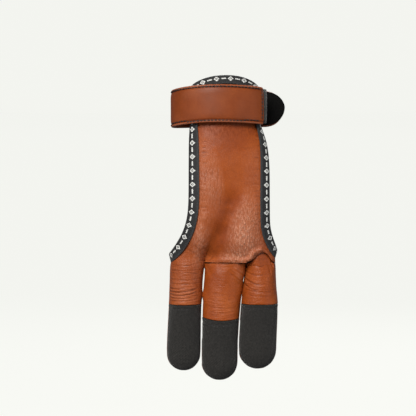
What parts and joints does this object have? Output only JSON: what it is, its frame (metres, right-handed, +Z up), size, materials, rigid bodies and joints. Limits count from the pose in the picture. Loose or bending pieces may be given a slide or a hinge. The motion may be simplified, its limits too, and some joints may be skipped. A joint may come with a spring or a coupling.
{
  "type": "archery glove",
  "caption": "Right-hand leather archery glove for the drawing fingers, with cloth fingertip caps, taped edges, open sides and a hook-and-loop wrist strap, in the shape it has when worn.",
  "frame": {"origin": "centre of the wrist strap's loop, where the wrist sits", "axes": "+Z up along the forearm with the fingers towards -Z, -Y out of the palm side, +X towards the little finger's side"},
  "size_m": [0.0777, 0.0461, 0.1969],
  "materials": {
    "leather": "semi-gloss, fine grain",
    "cap_cloth": "coarse weave, matte",
    "binding_tape": "woven tape with a plain pale figure",
    "fastener": "hook and loop, matte"
  },
  "bodies": {
    "root": {"palm_leather": "leather", "back_leather": "leather", "middle_stall_front": "leather", "ring_stall_front": "leather", "wrist_strap": "leather", "index_cap": "cap_cloth", "middle_cap": "cap_cloth", "ring_cap": "cap_cloth", "thumb_side_binding": "binding_tape", "little_side_binding": "binding_tape", "palm_top_binding": "binding_tape", "back_top_binding": "binding_tape", "loop_tape": "fastener", "hook_pad": "fastener"}
  },
  "joints": []
}
